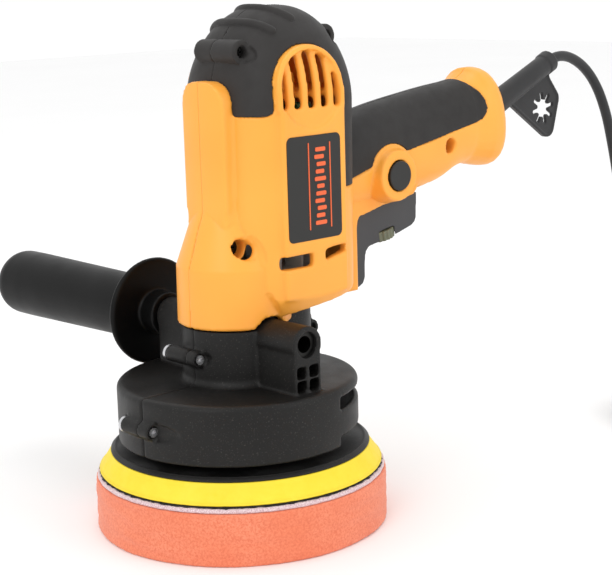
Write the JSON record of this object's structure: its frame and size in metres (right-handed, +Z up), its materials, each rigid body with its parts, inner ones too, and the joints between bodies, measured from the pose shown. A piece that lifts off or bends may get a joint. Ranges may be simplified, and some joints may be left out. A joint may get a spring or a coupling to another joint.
{
  "type": "power tool",
  "caption": "Corded dual-action polisher with a vertical motor, soft-covered rear handle, screw-in side handle and foam pad, its lead ending in a coil and plug.",
  "frame": {"origin": "on the spindle axis, in the plane of the foam pad's working face", "axes": "+Z up along the spindle, +X towards the rear handle, +Y towards the side handle"},
  "size_m": [0.4255, 0.3325, 0.2615],
  "materials": {
    "shell": "satin moulded orange",
    "softgrip": "soft matt thermoplastic rubber",
    "nylon": "fine-textured glass-filled nylon",
    "trigger": "matt moulded",
    "dial": "ribbed, slightly cloudy",
    "cushion": "smooth yellow polyurethane",
    "hook": "hook-and-loop pile",
    "foam": "open-cell foam",
    "steel": "ground and zinc-plated",
    "alloy": "die cast",
    "lamination": "stacked sheet",
    "copper": "enamelled wire and bar copper",
    "fan": "moulded",
    "board": "resin laminate",
    "cable": "matt cable rubber",
    "blackened": "blackened steel"
  },
  "bodies": {
    "machine": {"housing_left": "shell", "housing_right": "shell", "overmold_left": "softgrip", "overmold_right": "softgrip", "nameplate_left": "nylon", "nameplate_right": "nylon", "housing_screws": "steel", "shroud_left": "nylon", "shroud_right": "nylon", "clamp_bolts": "steel", "clamp_nuts": "steel", "thread_inserts": "blackened", "side_grip": "nylon", "side_stud": "steel", "gearcase": "nylon", "bearing_bracket": "alloy", "spindle_bearing_low": "steel", "spindle_bearing_top": "steel", "motor_bearing_low": "steel", "motor_bearing_top": "steel", "stator_core": "lamination", "field_coils": "copper", "brush_holders": "board", "carbon_brushes": "nylon", "brush_springs": "steel", "trigger_pin": "steel", "lock_spring": "steel", "switch_body": "nylon", "speed_board": "board", "suppressor": "cushion", "cord_clamp": "nylon", "clamp_screws": "steel", "strain_relief": "cable", "cord_inner": "cable", "cord_lead": "cable", "cord_coil": "cable", "coil_tie": "cable", "cord_tail": "cable", "plug_body": "cable", "plug_pins": "steel"},
    "armature": {"armature_core": "lamination", "armature_coils": "copper", "commutator": "copper", "armature_shaft": "steel", "cooling_fan": "fan"},
    "drive": {"spindle": "steel", "spindle_gear": "steel", "eccentric": "alloy", "counterweight": "lamination", "pad_bearing": "steel"},
    "pad": {"pad_shaft": "steel", "pad_bolt": "steel", "plate_cap": "nylon", "backing_plate": "cushion", "hook_layer": "hook", "foam_pad": "foam"},
    "trigger": {"trigger": "trigger"},
    "dial": {"speed_dial": "dial"},
    "lock": {"lock_button": "nylon"}
  },
  "joints": [
    {"name": "spindle_spin", "type": "hinge", "parent": "machine", "child": "drive", "pos_m": [0, 0, 0.09], "axis": [0, 0, 1], "continuous": true},
    {"name": "armature_spin", "type": "hinge", "parent": "machine", "child": "armature", "pos_m": [0.025, 0, 0.15], "axis": [0, 0, 1], "continuous": true},
    {"name": "pad_spin", "type": "hinge", "parent": "drive", "child": "pad", "pos_m": [0.00283, 0.00283, 0.05], "axis": [0, 0, 1], "continuous": true},
    {"name": "trigger_pull", "type": "hinge", "parent": "machine", "child": "trigger", "pos_m": [0.0715, 0, 0.115], "axis": [0, -1, 0], "range_deg": [0, 5], "stiffness_Nm_per_rad": 1, "springref_deg": -17.19},
    {"name": "dial_turn", "type": "hinge", "parent": "trigger", "child": "dial", "pos_m": [0.1026, 0, 0.1361], "axis": [-0.1822, 0, 0.9833], "range_deg": [-130, 130]},
    {"name": "lock_push", "type": "slide", "parent": "machine", "child": "lock", "axis": [0, 1, 0], "range_m": [0, 0.0025], "stiffness_N_per_m": 300, "springref_m": -0.001}
  ],
  "couplings": [
    {"joint": "armature_spin", "follows": "spindle_spin", "ratio": -4}
  ]
}
